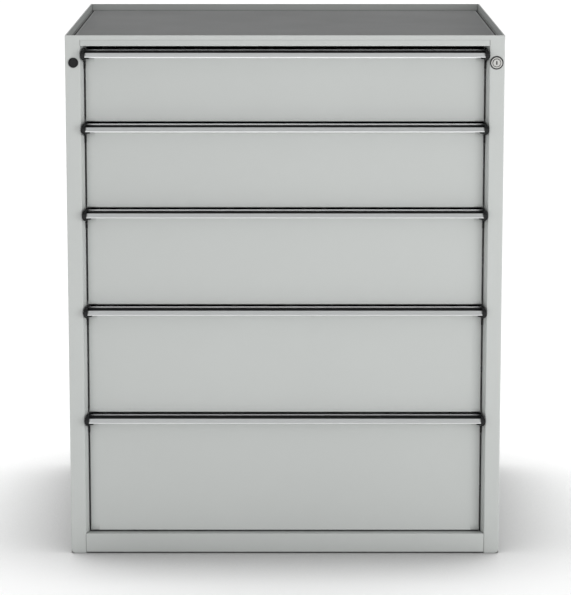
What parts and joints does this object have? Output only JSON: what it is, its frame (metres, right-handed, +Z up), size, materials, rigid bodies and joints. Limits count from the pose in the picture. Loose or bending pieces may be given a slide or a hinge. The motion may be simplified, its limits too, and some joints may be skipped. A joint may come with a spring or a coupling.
{
  "type": "drawer cabinet",
  "caption": "Freestanding sheet-steel drawer cabinet with wide full-extension drawers of rising height, aluminium lip handles, a lock and a rimmed top tray.",
  "frame": {"origin": "middle of the overall footprint, on the floor", "axes": "+Z up, -Y is the front that the drawers open towards, +X to the right seen from the front"},
  "size_m": [0.88, 0.76, 1.07],
  "materials": {
    "body_paint": "light grey fine-texture powder coat",
    "inner_paint": "light grey powder coat inside the housing and drawers",
    "tray_rubber": "matt dark grey ribbed mat",
    "handle_aluminium": "extruded and satin anodised",
    "black_plastic": "moulded, fine matt",
    "zinc_steel": "bright zinc-plated",
    "lock_chrome": "polished nickel-chrome",
    "buffer_rubber": "soft black rubber"
  },
  "bodies": {
    "cabinet": {"left_side_panel": "body_paint", "right_side_panel": "body_paint", "header_rail": "body_paint", "bottom_rail": "body_paint", "base_panel": "inner_paint", "top_panel": "inner_paint", "back_panel": "body_paint", "left_uprights": "inner_paint", "right_uprights": "inner_paint", "top_tray": "body_paint", "tray_mat": "tray_rubber", "post_plug": "black_plastic", "lock_barrel": "lock_chrome", "lock_nut": "zinc_steel", "lock_bar_guides": "black_plastic", "runner_buffers": "buffer_rubber", "drawer_1_cabinet_rails": "zinc_steel", "drawer_2_cabinet_rails": "zinc_steel", "drawer_3_cabinet_rails": "zinc_steel", "drawer_4_cabinet_rails": "zinc_steel", "drawer_5_cabinet_rails": "zinc_steel"},
    "lock_core": {"lock_plug": "lock_chrome", "lock_cam": "zinc_steel"},
    "locking_bar": {"lock_bar": "zinc_steel"},
    "drawer_1": {"drawer_1_front": "body_paint", "drawer_1_pan": "inner_paint", "drawer_1_handle": "handle_aluminium", "drawer_1_label_strip": "black_plastic", "drawer_1_end_caps": "black_plastic", "drawer_1_drawer_rails": "zinc_steel"},
    "carriage_1": {"drawer_1_carriages": "zinc_steel"},
    "drawer_2": {"drawer_2_front": "body_paint", "drawer_2_pan": "inner_paint", "drawer_2_handle": "handle_aluminium", "drawer_2_label_strip": "black_plastic", "drawer_2_end_caps": "black_plastic", "drawer_2_drawer_rails": "zinc_steel"},
    "carriage_2": {"drawer_2_carriages": "zinc_steel"},
    "drawer_3": {"drawer_3_front": "body_paint", "drawer_3_pan": "inner_paint", "drawer_3_handle": "handle_aluminium", "drawer_3_label_strip": "black_plastic", "drawer_3_end_caps": "black_plastic", "drawer_3_drawer_rails": "zinc_steel"},
    "carriage_3": {"drawer_3_carriages": "zinc_steel"},
    "drawer_4": {"drawer_4_front": "body_paint", "drawer_4_pan": "inner_paint", "drawer_4_handle": "handle_aluminium", "drawer_4_label_strip": "black_plastic", "drawer_4_end_caps": "black_plastic", "drawer_4_drawer_rails": "zinc_steel"},
    "carriage_4": {"drawer_4_carriages": "zinc_steel"},
    "drawer_5": {"drawer_5_front": "body_paint", "drawer_5_pan": "inner_paint", "drawer_5_handle": "handle_aluminium", "drawer_5_label_strip": "black_plastic", "drawer_5_end_caps": "black_plastic", "drawer_5_drawer_rails": "zinc_steel"},
    "carriage_5": {"drawer_5_carriages": "zinc_steel"}
  },
  "joints": [
    {"name": "drawer_1_slide", "type": "slide", "parent": "cabinet", "child": "drawer_1", "axis": [0, -1, 0], "range_m": [0, 0.65]},
    {"name": "carriage_1_slide", "type": "slide", "parent": "cabinet", "child": "carriage_1", "axis": [0, -1, 0], "range_m": [0, 0.325]},
    {"name": "drawer_2_slide", "type": "slide", "parent": "cabinet", "child": "drawer_2", "axis": [0, -1, 0], "range_m": [0, 0.65]},
    {"name": "carriage_2_slide", "type": "slide", "parent": "cabinet", "child": "carriage_2", "axis": [0, -1, 0], "range_m": [0, 0.325]},
    {"name": "drawer_3_slide", "type": "slide", "parent": "cabinet", "child": "drawer_3", "axis": [0, -1, 0], "range_m": [0, 0.65]},
    {"name": "carriage_3_slide", "type": "slide", "parent": "cabinet", "child": "carriage_3", "axis": [0, -1, 0], "range_m": [0, 0.325]},
    {"name": "drawer_4_slide", "type": "slide", "parent": "cabinet", "child": "drawer_4", "axis": [0, -1, 0], "range_m": [0, 0.65]},
    {"name": "carriage_4_slide", "type": "slide", "parent": "cabinet", "child": "carriage_4", "axis": [0, -1, 0], "range_m": [0, 0.325]},
    {"name": "drawer_5_slide", "type": "slide", "parent": "cabinet", "child": "drawer_5", "axis": [0, -1, 0], "range_m": [0, 0.65]},
    {"name": "carriage_5_slide", "type": "slide", "parent": "cabinet", "child": "carriage_5", "axis": [0, -1, 0], "range_m": [0, 0.325]},
    {"name": "lock_turn", "type": "hinge", "parent": "cabinet", "child": "lock_core", "pos_m": [0.4236, -0.37, 1.015], "axis": [0, 1, 0], "range_deg": [0, 90]},
    {"name": "bar_lift", "type": "slide", "parent": "cabinet", "child": "locking_bar", "axis": [0, 0, 1], "range_m": [0, 0.012]}
  ],
  "couplings": [
    {"joint": "carriage_1_slide", "follows": "drawer_1_slide", "ratio": 0.5},
    {"joint": "carriage_2_slide", "follows": "drawer_2_slide", "ratio": 0.5},
    {"joint": "carriage_3_slide", "follows": "drawer_3_slide", "ratio": 0.5},
    {"joint": "carriage_4_slide", "follows": "drawer_4_slide", "ratio": 0.5},
    {"joint": "carriage_5_slide", "follows": "drawer_5_slide", "ratio": 0.5},
    {"joint": "lock_turn", "follows": "bar_lift", "rad_per_m": 130.66}
  ]
}
